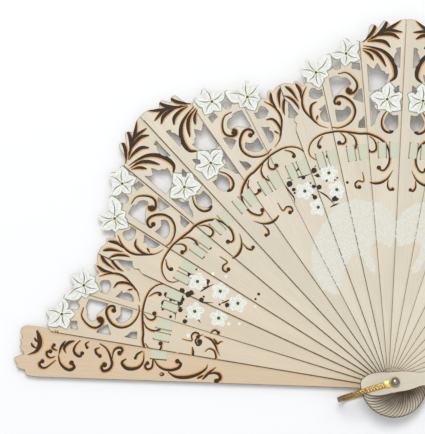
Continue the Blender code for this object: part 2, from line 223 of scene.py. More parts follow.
# Painted in two places on each half only, measured from one axis: across is positive towards
# the middle of the fan. Each half: its hand, its outer axis and its inner axis.
CLUSTER_AXES = ((1, 3, 9), (-1, 21, 15))
CLUSTER_REACH = 5
OUTER_BLOSSOMS = (14.5, 124, 17, 110, 15, 98, -10.5, 118.5, -8, 104.5)
INNER_BLOSSOMS = (-11, 119.5, 14.5, 124.5, 17.5, 114, -5, 108)
OUTER_TWIGS = (
    (7.5, 120, 13, 118, 20, 115), (12, 120, 14, 117.5, 18, 118.5, 20.5, 120.5),
    (-0.5, 118.5, 0.5, 115, 4, 110.5), (6.5, 106.5, 10.5, 104.5, 15.5, 102.5),
    (0.5, 124.5, 2.5, 123.5, 4, 122), (-8, 135, -8, 131.5, -3.5, 129.5),
    (-13, 138, -13, 135.5, -14.5, 132, -18, 128.5, -23.5, 127.5),
    (-12, 131.5, -12, 128.5, -11.5, 125.5), (-13, 118, -16, 115.5, -19, 113),
    (-17, 131.5, -13, 129.5, -8.5, 128),
)
INNER_TWIGS = (
    (-24.5, 127.5, -23.5, 122.5, -22.5, 118.5, -24.5, 115.5), (0.5, 116.5, 6, 112.5, 11.5, 106),
    (6, 105.5, 12, 106, 16.5, 106), (-20.5, 130.5, -14.5, 129, -6.5, 127.5, 1, 127.5),
    (-7.5, 118.5, -5, 115, -3.5, 113), (15, 121, 19.5, 119), (1.5, 126, 7, 123.5),
    (-14, 130, -12, 131.5, -6.5, 133, -4.5, 131.5),
)
# Buds: across, up, radius.
OUTER_BUDS = (
    18.5, 135.5, 0.4, 20, 130.5, 1.2, 17, 130, 1.2, 23, 128, 0.6, 9.5, 136, 0.6, 11.5, 133.5, 1.5,
    9.5, 128.5, 0.5, 1.5, 129.5, 1.4, 1, 125.5, 1.5, 3.5, 124.5, 1.2, -6.5, 137, 1.2,
    -3.5, 135, 0.8, -3, 129, 1.2, -5, 127.5, 1.2, -13.5, 136.5, 1.5, -9, 133.5, 0.8,
    -8, 131.5, 0.8, -12, 131, 0.8, -8.5, 128, 1.4, -18.5, 136, 0.6, -17, 131.5, 0.8,
    -14, 126.5, 1.2, -17.5, 129, 0.8, -22, 130.5, 0.8, -22, 122, 1.2, 35, 128, 0.5,
    44.5, 128, 0.7, 19, 119, 1.2, 13.5, 118, 0.6, 5, 117, 0.6, 1.5, 117.5, 1.2, 10.5, 106.5, 0.5,
    8, 103, 1.2, 5, 107, 0.6, 18, 114, 0.5, 36.5, 90.5, 0.8, 29.5, 90.5, 0.6, -9, 123, 0.6,
    -17.5, 122, 0.5, -15, 117.5, 0.8)
INNER_BUDS = (
    -15, 135.5, 0.6, -7.5, 132.5, 1.1, -4.5, 131, 0.6, -13.5, 130, 1.3, -7.5, 127, 1.1,
    3, 128.5, 1.5, 5, 130.5, 0.4, 4.5, 125, 1.0, 2.5, 118.5, 1.3, -2, 120, 1.0, -3.5, 122.5, 0.5,
    13.5, 122, 1.3, 10.5, 120.5, 0.6, 20.5, 120.5, 0.5, 28.5, 116.5, 0.8, 14.5, 109.5, 1.6,
    12, 109, 1.1, -20.5, 127, 1.6, -19.5, 123, 1.0, -20, 121, 0.6, -4.5, 114, 1.2,
    17.5, 134, 1.2, 13, 132.5, 1.0, -6.5, 135, 0.6)
OUTER_DROPS = (27.5, 118.5, 1.0, 32, 111.5, 0.9, -9.5, 98, 1.0, -5, 92.5, 0.8, 22, 88.5, 0.7,
               -33, 118, 1.2)
OUTER_SCROLLS = (
    (1.0, 1.2, (-28.5, 110, -31, 112, -36.5, 113.5, -40, 111.5, -37, 110, -36, 111)),
    (1.0, 0, (-30, 109.5, -31.5, 105, -36, 102, -40.5, 100.5, -46, 98.5)),
    (0.9, 0, (-29.5, 104, -31.5, 102.5, -34, 101, -31, 99.5, -30.5, 98)),
    (0.9, 0.8, (-26, 106, -23, 105.5, -21, 104, -22.5, 102)),
    (0.9, 0.9, (-45, 107, -41, 105, -42, 102, -50, 100.5, -52, 104)),
)
# Outline of the pale lace round the inner axis.
LACE_EDGE = (
    11, 105, 21.5, 106, 33.5, 106, 46, 104, 58.5, 102, 69, 97, 78, 89.5, 78, 85, 72, 77, 64, 78,
    51.5, 80.5, 40.5, 78.5, 41, 72, 48, 65.5, 43.5, 62, 35, 64.5, 29, 74, 18, 76.5, 2, 71.5,
    -11.5, 65, -30, 58, -40, 61, -47.5, 67.5, -45, 76.5, -38, 84, -24.5, 91.5, -9.5, 97,
    1, 100.5)
# A guard's strokes: across falls towards the sticks, 61.8 is the guard's centre line.
GUARD_STROKES = (
    (2.2, 0, (50.5, 202.8, 54, 200.8, 58, 200, 61.5, 201.5, 63.8, 206)),
    (1.0, 0, (54.5, 203.5, 56, 202.3, 57, 200.5)), (1.0, 0, (57.5, 205, 59.3, 203.5, 60, 201)),
    (1.4, 1.0, (65.5, 190, 70.3, 196, 69.5, 198.5, 68, 199, 66.8, 197.5)),
    (1.3, 1.0, (63.5, 190.5, 64.5, 193.5, 62.8, 195.4, 61.5, 195.2, 61, 193.5)),
    (1.2, 0.8, (60, 189.5, 59.6, 191.5, 58.6, 192.7, 57.3, 191.8)),
    (1.2, 0, (54, 185.8, 58, 187.8, 63, 188.8)),
    (1.6, 1.1, (63, 188.8, 67, 187.5, 70, 184.5, 70.8, 181.5, 69, 179.3, 66.5, 181)),
    (1.5, 0, (53.3, 180.5, 55, 184, 58.5, 186, 61.5, 184.5)),
    (1.4, 0.9, (52.5, 177.5, 56, 179.8, 59, 180.5, 61.5, 179, 62.3, 176.5, 60.3, 175.5)),
    (1.0, 0.7, (52.5, 172.5, 54.5, 174.3, 56.5, 173.2)),
    (1.5, 1.2, (53, 166.5, 55.5, 162.5, 60, 159.8, 66, 158.3, 69.5, 160, 70.3, 163, 68, 164,
                66.5, 162.4)),
    (1.3, 0.9, (55.5, 166, 57, 168.3, 59.5, 167.6, 61, 165.5)),
    (1.3, 1.1, (62, 158.3, 57, 158, 54.6, 156.6, 54, 154, 56, 153.2, 57.6, 154.6)),
    (1.6, 0, (61, 150.5, 64, 152.8, 67.5, 150.5, 68.2, 147, 66.5, 143, 62, 140.8, 54, 141)),
    (1.2, 0.7, (54, 141.8, 57, 144.6, 60, 145.5)),
    (1.2, 0.9, (55, 136, 60, 135.4, 66.5, 136, 67.5, 138.5, 65, 139.5, 63, 138.3)),
    (1.5, 1.1, (59, 135, 64, 132.5, 67, 128.5, 67, 124, 64.5, 120.5, 61, 119.6, 59, 121.6)),
    (0.8, 0, (71, 131.3, 72.2, 130, 71, 128.8, 69.8, 130, 71, 131.3)),
    (1.5, 0, (69, 126.5, 72.5, 122.5, 73.3, 118.5, 72, 113, 68, 108, 63, 105, 59, 104.5)),
    (1.2, 0, (75, 107, 68, 103.6, 61, 99.5)), (1.0, 0, (74, 110, 70, 106)),
    (1.7, 1.2, (69, 103.5, 67.3, 100, 69, 97.5, 73, 97, 76, 99)),
)
GUARD_MIDDLE = 61.8

# Layers of the painting, lowest first; each is also a material of the painted piece.
LAYERS = ("mist", "lit_scorch", "scorch_and_shade", "lace", "ochre", "ink", "shade", "petal", "fold", "vein",
          "pollen", "eye")
MIST, LIT_SCORCH, SCORCH_AND_SHADE, LACE, OCHRE, INK, SHADE, PETAL, FOLD, VEIN, POLLEN, EYE = range(len(LAYERS))


# ---------------------------------------------------------------- settings
class FanSizes(bpy.types.PropertyGroup):
    """Sizes that a user would change."""
    paint_height: FloatProperty(name="Paint Height", description="How proud the paint stands",
                                default=0.03 * MM, precision=5, unit="LENGTH")
    guard_round: FloatProperty(name="Guard Rounding", description="Width of a guard's bevel",
                               default=0.2 * MM, precision=5, unit="LENGTH")
    turned_steps: IntProperty(name="Turned Steps", description="Facets round a turned piece",
                              default=56, min=12, max=128)


def colour_setting(name, description, red, green, blue):
    return FloatVectorProperty(name=name, description=description, subtype="COLOR",
                               default=(red, green, blue), min=0, max=1)


class FanColours(bpy.types.PropertyGroup):
    """Colours of the woods, paints and metals."""
    wood: colour_setting("Wood", "Pale wood of the sticks", 0.730, 0.660, 0.522)
    guard_wood: colour_setting("Guard Wood", "Warmer wood of the guards", 0.69, 0.535, 0.36)
    burnt: colour_setting("Burnt Edge", "Scorched cut edges", 0.14, 0.085, 0.04)
    ink: colour_setting("Ink", "Dark brown strokes", 0.026, 0.017, 0.013)
    ochre: colour_setting("Ochre", "Gilt outlines", 0.60, 0.29, 0.08)
    petal: colour_setting("Petal", "White of the flowers", 0.86, 0.865, 0.82)
    pollen: colour_setting("Pollen", "Yellow green of the stamens", 0.66, 0.70, 0.10)
    lace: colour_setting("Lace", "Pale blue print", 0.715, 0.735, 0.675)
    ribbon: colour_setting("Ribbon", "Grey green silk", 0.66, 0.67, 0.50)
    brass: colour_setting("Brass", "Gilt brass", 0.80, 0.56, 0.17)
    steel: colour_setting("Steel", "Bright dome", 0.30, 0.28, 0.25)


# ---------------------------------------------------------------- shader writing
# A Mix node's colour sockets share their names with its other sockets, so they go by number.
MIX_FIRST, MIX_SECOND, MIX_RESULT = 6, 7, 2


class Value:
    """A socket in a node tree that can be used in sums."""

    def __init__(self, tree, socket):
        self.tree = tree
        self.socket = socket

    def node(self, kind, settings=None, inputs=None, output=0):
        """Adds a node, applies its settings, fills its sockets and returns one output."""
        made = self.tree.nodes.new(kind)
        for name, value in (settings or {}).items():
            setattr(made, name, value)
        for name, value in (inputs or {}).items():
            if isinstance(value, Value):
                self.tree.links.new(value.socket, made.inputs[name])
            else:
                made.inputs[name].default_value = value
        return Value(self.tree, made.outputs[output])

    def maths(self, operation, first, second=0.0):
        return self.node("ShaderNodeMath", {"operation": operation}, {0: first, 1: second})

    def __add__(self, other):
        return self.maths("ADD", self, other)

    def __radd__(self, other):
        return self.maths("ADD", other, self)

    def __sub__(self, other):
        return self.maths("SUBTRACT", self, other)

    def __rsub__(self, other):
        return self.maths("SUBTRACT", other, self)

    def __mul__(self, other):
        return self.maths("MULTIPLY", self, other)

    def __rmul__(self, other):
        return self.maths("MULTIPLY", other, self)

    def ease(self, low, high):
        """0 below low, 1 above high, with soft ends."""
        return self.node("ShaderNodeMapRange", {"interpolation_type": "SMOOTHSTEP"},
                         {"Value": self, "From Min": low, "From Max": high})

    def between(self, first, second):
        """A colour mixed by this value; first and second are colours or values."""
        ends = [end if isinstance(end, Value) else (*end, 1.0) for end in (first, second)]
        return self.node("ShaderNodeMix", {"data_type": "RGBA"},
                         {0: self, MIX_FIRST: ends[0], MIX_SECOND: ends[1]}, MIX_RESULT)

    def scaled(self, x, y, z):
        """A coordinate stretched along its axes."""
        return self.node("ShaderNodeVectorMath", {"operation": "MULTIPLY"},
                         {0: self, 1: (x, y, z)})

    def noise(self, scale, detail=2.0, roughness=0.5):
        return self.node("ShaderNodeTexNoise", {},
                         {"Vector": self, "Scale": scale, "Detail": detail,
                          "Roughness": roughness})


class Finish:
    """A material with its shader, and ways to start a pattern on it."""

    def __init__(self, name, **numbers):
        self.material = bpy.data.materials.new(name)
        self.material.use_nodes = True
        self.tree = self.material.node_tree
        self.shader = self.tree.nodes["Principled BSDF"]
        for socket, value in numbers.items():
            self.shader.inputs[socket.replace("_", " ")].default_value = value
        self.start = Value(self.tree, None)

    def place(self):
        """Object coordinates in millimetres."""
        own = self.start.node("ShaderNodeTexCoord", output="Object")
        return own.scaled(1 / MM, 1 / MM, 1 / MM)

    def chart(self):
        """The piece's own chart: across and along the blade, in millimetres."""
        chart = self.start.node("ShaderNodeUVMap", {"uv_map": "Chart"})
        return chart.scaled(1 / MM, 1 / MM, 0)

    def link(self, socket, value):
        self.tree.links.new(value.socket, self.shader.inputs[socket])

    def bump(self, height, strength, distance):
        """Raises the surface by a pattern, up to a distance in metres."""
        self.link("Normal", self.start.node(
            "ShaderNodeBump", {},
            {"Height": height, "Strength": strength, "Distance": distance}))


# Colour of the painted shade on the blades' heads behind the rivet.
PAINTED_HEAD_SHADE = (0.055, 0.038, 0.027)


def tint(colour, factor):
    return tuple(min(1.0, channel * factor) for channel in colour)


def wood_finish(name, colour, warm, head_shade_share=0.92):
    """Close-grained wood: browner on the lowest blades, with painted shade on the heads behind the
    rivet.
    """
    finish = Finish(name, IOR=1.45, Specular_IOR_Level=0.3)
    chart = finish.chart()
    along = chart.node("ShaderNodeSeparateXYZ", {}, {0: chart}, "Y")
    blade = (along + CHART_TAIL) * (1 / CHART_STEP)
    up = blade.maths("FRACT", blade) * CHART_STEP - CHART_TAIL
    streaks = chart.scaled(2.6, 0.06, 1).noise(1.0, 3.0, 0.6)
    pores = chart.scaled(7.0, 0.35, 1).noise(1.0, 2.0, 0.55)
    cloud = chart.scaled(0.05, 0.012, 1).noise(1.0, 2.0, 0.5)
    tone = cloud.ease(0.3, 0.7).between(tint(colour, 0.93), tint(colour, 1.06))
    lowest = 1.0 - blade.ease(1.0, 7.0)
    aged = (lowest * 0.55).between(tone, tint(warm, 1.04))
    # Painted shade on the heads: darkest a few millimetres behind the rivet, fainter towards the
    # tail end.
    head_shade = (1.0 - up.ease(-5.0, 1.0)) * (0.16 + 0.84 * up.ease(-18.0, -8.5))
    base = (head_shade * head_shade_share).between(aged, PAINTED_HEAD_SHADE)
    lined = (streaks.ease(0.35, 0.75) * 0.55).between(base, tint(colour, 0.80))
    finish.link("Base Color", (pores.ease(0.56, 0.78) * 0.45).between(lined, tint(colour, 0.62)))
    finish.link("Roughness", 0.48 + streaks * 0.16)
    finish.bump(streaks + pores * 0.6, 0.25, 0.06 * MM)


def burnt_finish(name, colour, pale):
    """Scorched edge left by the cut, lighter where the burn is thin."""
    finish = Finish(name, Specular_IOR_Level=0.2)
    burn = finish.place().noise(0.8, 3.0, 0.6)
    finish.link("Base Color", (burn.ease(0.45, 0.8) * 0.4).between(colour, pale))
    finish.link("Roughness", 0.65 + burn * 0.2)


def paint_finish(name, colour, other, scale, share, roughness):
    """Hand-laid paint: slightly uneven in colour and sheen."""
    finish = Finish(name, Specular_IOR_Level=0.2)
    brush = finish.place().noise(scale, 3.0, 0.6)
    finish.link("Base Color", (brush.ease(0.35, 0.7) * share).between(colour, other))
    finish.link("Roughness", roughness + brush * 0.15)
    finish.bump(brush, 0.2, 0.03 * MM)


# ---------------------------------------------------------------- shared materials
def fan_materials():
    """The finishes, made once and shared by every piece."""
    colours = bpy.context.scene.fan_colours
    if "painted_ink" in bpy.data.materials:
        return
    wood_finish("pale_wood", colours.wood, colours.guard_wood)
    wood_finish("guard_wood_finish", colours.guard_wood, colours.guard_wood)
    wood_finish("worn_guard_wood", tint(colours.wood, 0.97), colours.guard_wood, 0.12)
    burnt_finish("burnt_edge", colours.burnt, tint(colours.wood, 0.45))
    # Each paint: two colours, the size of its mottling, share of the second, and roughness.
    for name, *look in (
            ("mist", tint(colours.wood, 0.99), tint(colours.lace, 1.02), 1.6, 0.85, 0.6),
            # The next two paint the scorched lines and their shade: a paler copy where an edge is
            # lit, a darker one where it is in shade.
            ("lit_scorch", (0.44, 0.27, 0.12), (0.58, 0.39, 0.20), 0.5, 0.7, 0.6),
            ("scorch_and_shade", tint(colours.burnt, 0.75), tint(colours.burnt, 1.9), 0.5, 0.7, 0.6),
            ("shade", (0.33, 0.34, 0.25), (0.24, 0.25, 0.17), 0.6, 0.7, 0.6),
            ("lace", colours.lace, tint(colours.lace, 1.06), 1.2, 0.6, 0.6),
            ("ochre", colours.ochre, tint(colours.ochre, 1.5), 0.9, 0.7, 0.45),
            ("ink", colours.ink, tint(colours.ink, 2.6), 0.7, 0.5, 0.5),
            ("petal", colours.petal, tint(colours.petal, 0.80), 0.55, 0.75, 0.55),
            ("fold", (0.62, 0.64, 0.56), (0.50, 0.52, 0.44), 0.6, 0.7, 0.6),
            ("vein", (0.15, 0.13, 0.06), (0.28, 0.23, 0.10), 0.8, 0.7, 0.5),
            ("pollen", colours.pollen, tint(colours.pollen, 0.7), 1.5, 0.5, 0.5),
            ("eye", (0.06, 0.065, 0.045), (0.12, 0.12, 0.08), 1.5, 0.5, 0.5)):
        paint_finish(f"painted_{name}", *look)


# ---------------------------------------------------------------- flat outlines
TINY = 0.000001


def signed_area(points):
    return sum(a.x * b.y - b.x * a.y for a, b in zip(points, points[1:] + points[:1])) / 2


def curve_point(before, start, end, after, share):
    """A point on the smooth curve through four points, between the middle two."""
    knots = [0.0]
    for a, b in ((before, start), (start, end), (end, after)):
        knots.append(knots[-1] + max((b - a).length, TINY) ** 0.5)
    t = knots[1] + (knots[2] - knots[1]) * share

    def blend(a, b, low, high):
        return a.lerp(b, (t - low) / (high - low))
    first = blend(before, start, knots[0], knots[1])
    second = blend(start, end, knots[1], knots[2])
    third = blend(end, after, knots[2], knots[3])
    return blend(blend(first, second, knots[0], knots[2]),
                 blend(second, third, knots[1], knots[3]), knots[1], knots[2])


def left_of(along):
    """A quarter turn to the left of a direction."""
    return Vector((-along.y, along.x))


def heading(path, k):
    """The direction of a path at one of its points."""
    along = path[min(k + 1, len(path) - 1)] - path[max(k - 1, 0)]
    return along.normalized() if along.length > TINY else Vector((1, 0))


def smooth_path(points, steps):
    """An open path made smooth, with steps pieces to each of its spans."""
    ends = [points[0] * 2 - points[1]] + points + [points[-1] * 2 - points[-2]]
    path = []
    for k in range(len(points) - 1):
        path += [curve_point(*ends[k:k + 4], step / steps) for step in range(steps)]
    return path + [points[-1]]


def smooth_loop(points, corner=math.radians(58), longest=14.0, shortest=0.35, steps=3):
    """A closed outline made smooth, except at sharp corners and on very long or short sides."""
    count = len(points)
    held = []
    for k in range(count):
        back = points[k] - points[k - 1]
        ahead = points[(k + 1) % count] - points[k]
        held.append(abs(back.angle_signed(ahead)) > corner or back.length > longest
                    or ahead.length > longest)
    loop = []
    for k in range(count):
        start, end = points[k], points[(k + 1) % count]
        if not shortest <= (end - start).length <= longest:
            loop.append(start)
            continue
        before = start * 2 - end if held[k] else points[k - 1]
        after = end * 2 - start if held[(k + 1) % count] else points[(k + 2) % count]
        loop += [curve_point(before, start, end, after, step / steps) for step in range(steps)]
    return loop


def blade_loops(node):
    """Outline and openings of a blade's upper face, largest first, in millimetres."""
    bm = bmesh.new()
    bm.from_mesh(frame["nodes"][node].data)
    bmesh.ops.remove_doubles(bm, verts=bm.verts[:], dist=MERGE)
    top = max(v.co.z for v in bm.verts)
    lower = [f for f in bm.faces if min(v.co.z for v in f.verts) < top - 10 * MERGE]
    bmesh.ops.delete(bm, geom=lower, context="FACES")
    after = {}
    for face in bm.faces:
        for loop in face.loops:
            if len(loop.edge.link_faces) == 1:
                after[loop.vert] = loop.link_loop_next.vert
    loops = []
    while after:
        start = next(iter(after))
        vert, loop = start, []
        while vert in after:
            loop.append(Vector((vert.co.x, vert.co.y)) / MM)
            vert = after.pop(vert)
        loops.append(loop)
    bm.free()
    loops.sort(key=lambda loop: -abs(signed_area(loop)))
    return [smooth_loop(loop) for loop in loops]


# ---------------------------------------------------------------- where a blade is
def blade_name(index):
    if index == 0:
        return "left_guard"
    return "right_guard" if index == RIGHT_GUARD else f"stick_{index:02d}"


def blade_turn(index):
    """How far a blade is turned from +Y; 0 is the left guard."""
    return ((STICK_COUNT + 1) / 2 - index) * PITCH


def edge_angle(radius):
    return math.asin((EDGE_AT_RIVET + EDGE_SLOPE * radius) / radius)


def polar(angle, radius):
    return Vector((math.cos(angle), math.sin(angle))) * radius


def left_edge(index, radius):
    return math.pi / 2 + blade_turn(index) + edge_angle(radius)


def beside(axis, hand, across, up):
    """A point measured from one stick's left edge, to the right where hand is 1."""
    return polar(left_edge(axis, up) - hand * across / CELL * PITCH, up)


def on_fan(across, up, axis, mirrored):
    """A point of the ornament in millimetres; axis is the stick whose left edge it starts at."""
    if mirrored:
        edge = math.pi / 2 + blade_turn(axis) + PITCH - edge_angle(up)
        return polar(edge + across / CELL * PITCH, up)
    return beside(axis, 1, across, up)


def on_guard(across, up, index, hand):
    """A point of a guard's painting."""
    x = hand * (GUARD_MIDDLE - across) * up * PITCH / CELL
    return Matrix.Rotation(blade_turn(index), 2) @ Vector((x, math.sqrt(up * up - x * x)))


def drawing_of(index):
    """The axis that a blade's ornament is drawn from, and whether it is mirrored."""
    place = (index - FIRST_AXIS) % REPEAT
    if place < REPEAT // 2:
        return index - place, False
    return index - place + REPEAT, True


# ---------------------------------------------------------------- flat solids
def raise_faces(bm, height):
    """Turns flat faces into a closed solid of that height."""
    raised = bmesh.ops.extrude_face_region(bm, geom=bm.faces[:], use_keep_orig=True)
    verts = [item for item in raised["geom"] if isinstance(item, bmesh.types.BMVert)]
    bmesh.ops.translate(bm, vec=(0, 0, height), verts=verts)
    bmesh.ops.recalc_face_normals(bm, faces=bm.faces[:])


def plate(loops, bottom, top, rounding):
    """A flat blade from its outlines, with material 1 on the cut edges."""
    bm = bmesh.new()
    for loop in loops:
        verts = [bm.verts.new((p.x * MM, p.y * MM, bottom)) for p in loop]
        for pair in zip(verts, verts[1:] + verts[:1]):
            bm.edges.new(pair)
    bmesh.ops.triangle_fill(bm, use_beauty=True, use_dissolve=False, edges=bm.edges[:])
    raise_faces(bm, top - bottom)
    for face in bm.faces:
        if abs(face.normal.z) < 0.5:
            face.material_index = 1
    if rounding:
        rims = [e for e in bm.edges if len(e.link_faces) == 2
                and abs(e.link_faces[0].normal.z) + abs(e.link_faces[1].normal.z) < 1.5
                and abs(e.verts[0].co.z - e.verts[1].co.z) < MERGE]
        bmesh.ops.bevel(bm, geom=rims, offset=rounding, segments=2, profile=0.5,
                        affect="EDGES", material=-1, clamp_overlap=True)
    return bm


def chart_blade(bm, index):
    """Lays the chart along the blade, moved on for each blade so no two share their grain."""
    chart = bm.loops.layers.uv.new("Chart")
    back = Matrix.Rotation(-blade_turn(index), 4, "Z")
    for face in bm.faces:
        for loop in face.loops:
            place = back @ loop.vert.co
            loop[chart].uv = (place.x + CHART_SHIFT * MM * index,
                              place.y + CHART_STEP * MM * index)


def add_piece(name, bm, materials, body, replaced=(), smooth=None):
    """Puts a finished mesh in the scene, riding on its body."""
    mesh = bpy.data.meshes.new(name)
    bm.to_mesh(mesh)
    bm.free()
    for material in materials:
        mesh.materials.append(bpy.data.materials[material])
    if smooth is not None:
        mesh.shade_smooth()
        mesh.set_sharp_from_angle(angle=math.radians(smooth))
    piece = bpy.data.objects.new(name, mesh)
    bpy.context.scene.collection.objects.link(piece)
    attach(piece, body)
    if replaced:
        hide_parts(*replaced)


# ---------------------------------------------------------------- painting
class Painting:
    """Flat shapes painted on one blade, cut to its wood and to what the next one covers.

    The first shape is the blade's outline; its openings and the cover after it stay bare.
    """
    # Areas below SLIVER are left out; a head is within HEAD_REACH; NEAR_MARGIN is an angle.
    SLIVER = 0.0005
    HEAD_REACH = 24
    NEAR_MARGIN = 0.02

    def __init__(self, index, loops):
        self.index = index
        self.points = []
        self.shapes = []
        self.layers = []
        self.spans = []
        for loop in loops:
            self.add(loop, None)
        if index < RIGHT_GUARD:
            cover = [polar(left_edge(index + 1, r) - COVER_MARGIN, r) for r in COVER_RADII]
            beyond = left_edge(index + 1, 100) - COVER_SWEEP
            cover += [polar(beyond, COVER_FAR), polar(beyond, COVER_RADII[0])]
            self.add(cover, None)
        self.barred = set(range(1, len(self.shapes)))

    def add(self, points, layer):
        if len(points) < 3:
            return
        area = signed_area(points)
        if layer is not None and abs(area) < self.SLIVER:
            return
        first = len(self.points)
        self.points += points if area > 0 else points[::-1]
        self.shapes.append(list(range(first, first + len(points))))
        self.layers.append(layer)
        across, up = [p.x for p in points], [p.y for p in points]
        self.spans.append((min(across), max(across), min(up), max(up)))

    def covers(self, shape, x, y):
        """Whether a shape's box holds the point, which keeps out a badly sorted sliver."""
        low_x, high_x, low_y, high_y = self.spans[shape]
        return low_x <= x <= high_x and low_y <= y <= high_y

    def near(self, point):
        """Whether a point is on or close to this blade."""
        if point.length < self.HEAD_REACH:
            return True
        angle = math.atan2(point.y, point.x) - math.pi / 2 - blade_turn(self.index)
        angle = (angle + math.pi) % math.tau - math.pi
        return abs(angle) < edge_angle(max(point.length, 30)) + self.NEAR_MARGIN

    def stroke(self, path, widths, layer):
        """A brush stroke: a chain of triangles along the path."""
        sides = []
        for k, point in enumerate(path):
            off = left_of(heading(path, k)) * widths[k] / 2
            sides.append((point + off, point - off))
        for (a, b), (c, d) in zip(sides, sides[1:]):
            if self.near((a + d) / 2):
                self.add([b, d, c], layer)
                self.add([b, c, a], layer)

    def rims(self, loops):
        """The scorched line that the cut leaves round every edge, with painted shade: wider round
        the head, and along the left edge wider and dark where it is in shade, paler where it is
        lit.
        """
        for loop in loops:
            self.stroke(loop + loop[:2], [RIM_WIDTH] * (len(loop) + 2), SCORCH_AND_SHADE)
        # Painted shade round the head: a wide dark line along its rim behind the rivet.
        upright = Matrix.Rotation(-blade_turn(self.index), 2)
        head = [point for point in loops[0] if (upright @ point).y < HEAD_START]
        head.sort(key=lambda point: math.atan2((upright @ point).x, -(upright @ point).y))
        self.stroke(head, [HEAD_RIM_AND_SHADE] * len(head), SCORCH_AND_SHADE)
        # Painted shade along the left edge: wider the more it is in shade, dark on the left half
        # and a paler lit line on the right half.
        if 0 < self.index < RIGHT_GUARD:
            facing = max(0.0, -math.cos(math.pi / 2 + blade_turn(self.index)))
            edge = [polar(left_edge(self.index, r), r) for r in EDGE_RIM_RADII]
            self.stroke(edge, [EDGE_RIM_AND_SHADE + EDGE_SHADE_WIDENING * facing] * len(edge),
                        SCORCH_AND_SHADE if self.index < (STICK_COUNT + 1) / 2 else LIT_SCORCH)

    def disc(self, centre, radius, layer, sides=12):
        if self.near(centre):
            self.add([centre + polar(math.tau * k / sides, radius) for k in range(sides)],
                     layer)

    def mesh(self, bottom, top):
        """The painted layer as one closed solid, or None where nothing is painted."""
        found = delaunay_2d_cdt(self.points, [], self.shapes, 0, 1e-5)
        verts, faces, sources = found[0], found[2], found[5]
        bm = bmesh.new()
        made = {}
        for face, source in zip(faces, sources):
            x, y = sum((verts[k] for k in face), Vector((0, 0))) / len(face)
            over = {k for k in source if self.covers(k, x, y)}
            layers = [self.layers[k] for k in over if self.layers[k] is not None]
            if 0 not in over or over & self.barred or not layers:
                continue
            for k in face:
                if k not in made:
                    made[k] = bm.verts.new((verts[k].x * MM, verts[k].y * MM, bottom))
            bm.faces.new([made[k] for k in face]).material_index = max(layers)
        if not bm.faces:
            bm.free()
            return None
        raise_faces(bm, top - bottom)
        return bm


def brush_widths(count, width, blob=0):
    """Thin at the start and the end; with a blob the stroke keeps its width towards the end."""
    widths = []
    for k in range(count):
        share = k / (count - 1)
        if blob:
            swell = math.sin(math.pi * min(1.0, 0.10 + 0.62 * share))
        else:
            swell = math.sin(math.pi * (0.04 + 0.92 * share) ** 0.8)
        widths.append(width * max(0.12, swell))
    return widths


def pairs(flat):
    return list(zip(flat[::2], flat[1::2]))


def triples(flat):
    return list(zip(flat[::3], flat[1::3], flat[2::3]))


def paint_stroke(painting, stroke, place, hand, steps=5):
    """A dark stroke with a gilt line beside it; place turns the drawing's points into the fan's."""
    width, blob, flat = stroke
    path = smooth_path([place(u, v) for u, v in pairs(flat)], steps)
    widths = brush_widths(len(path), width * (1.14 if blob else 1.28), blob)
    gilt = []
    for k, point in enumerate(path):
        away = 0.22 + widths[k] * 0.50
        gilt.append(point + left_of(heading(path, k)) * away * hand)
    painting.stroke(gilt, [0.32 + 0.38 * w for w in widths], OCHRE)
    painting.stroke(path, widths, INK)
    if blob:
        painting.disc(path[-1] + (gilt[-1] - path[-1]) * 0.5, blob * 1.45, OCHRE)
        painting.disc(path[-1], blob * 1.25, INK)


# Half of a lily's petal: shares of its length and of its greatest half breadth.
PETAL_SHAPE = ((0.04, 0.16), (0.18, 0.48), (0.34, 0.86), (0.50, 1.0), (0.66, 0.92),
               (0.80, 0.62), (0.92, 0.26))


def paint_petal(painting, centre, tip, breadth, layer):
    along = tip - centre
    out = left_of(along) * breadth
    left = [centre + along * t + out * w for t, w in PETAL_SHAPE]
    right = [centre + along * t - out * w for t, w in PETAL_SHAPE]
    if any(painting.near(spot) for spot in (centre.lerp(tip, 0.5), centre, tip)):
        painting.add([centre] + right + [tip] + left[::-1], layer)


def paint_lily(painting, lily, axis, mirrored):
    """A big white flower with curved veins, yellow stamens and a dark eye."""
    middle, ends = lily
    centre = on_fan(*middle, axis, mirrored)
    for k, end in enumerate(ends):
        along = on_fan(*end, axis, mirrored) - centre
        side = left_of(along)
        for length, breadth, layer in ((1.10, 0.43, SHADE), (1.04, 0.37, PETAL)):
            paint_petal(painting, centre, centre + along * length, breadth, layer)
        bend = side * (0.07 if k % 2 else -0.07)
        vein = smooth_path([centre + along * 0.10, centre + along * 0.45 + bend,
                            centre + along * 0.86], 4)
        painting.stroke(vein, brush_widths(len(vein), 0.62), VEIN)
        for lean in (-0.24, 0.26):
            fold = [centre + along * share + side * lean * swell
                    for share, swell in ((0.28, 0.5), (0.5, 0.85), (0.72, 0.7))]
            painting.stroke(fold, [0.15, 0.34, 0.15], FOLD)
        for turn in (-0.45, 0.3):
            dot = centre + Matrix.Rotation(turn, 2) @ along.normalized() * (1.7 + 0.5 * (k % 2))
            painting.disc(dot, 0.34, POLLEN, 6)
    painting.disc(centre, 0.85, EYE, 10)


def paint_blossom(painting, centre, turn):
    """A small white flower of five round petals."""
    fifth = math.tau / 5
    for k in range(5):
        out = polar(turn + k * fifth, 1.0)
        side = left_of(out)
        reach = (2.55, 2.35, 2.75)[k % 3]
        petal = [centre + out * (2.8 + reach * math.cos(t)) + side * 2.0 * math.sin(t)
                 for t in (math.tau * step / 12 for step in range(12))]
        if painting.near(centre):
            painting.add(petal, PETAL)
        for lean in (-0.8, 0.7):
            painting.stroke([centre + out * 2.2 + side * lean * 0.5,
                             centre + out * (2.6 + reach * 0.7) + side * lean], [0.2, 0.3], FOLD)
        for ahead, away, radius in ((0.4, 1.75, 0.36), (0.9, 1.55, 0.28)):
            painting.disc(centre + polar(turn + (k + ahead) * fifth, away), radius, POLLEN, 6)
    painting.disc(centre, 1.0, EYE, 12)


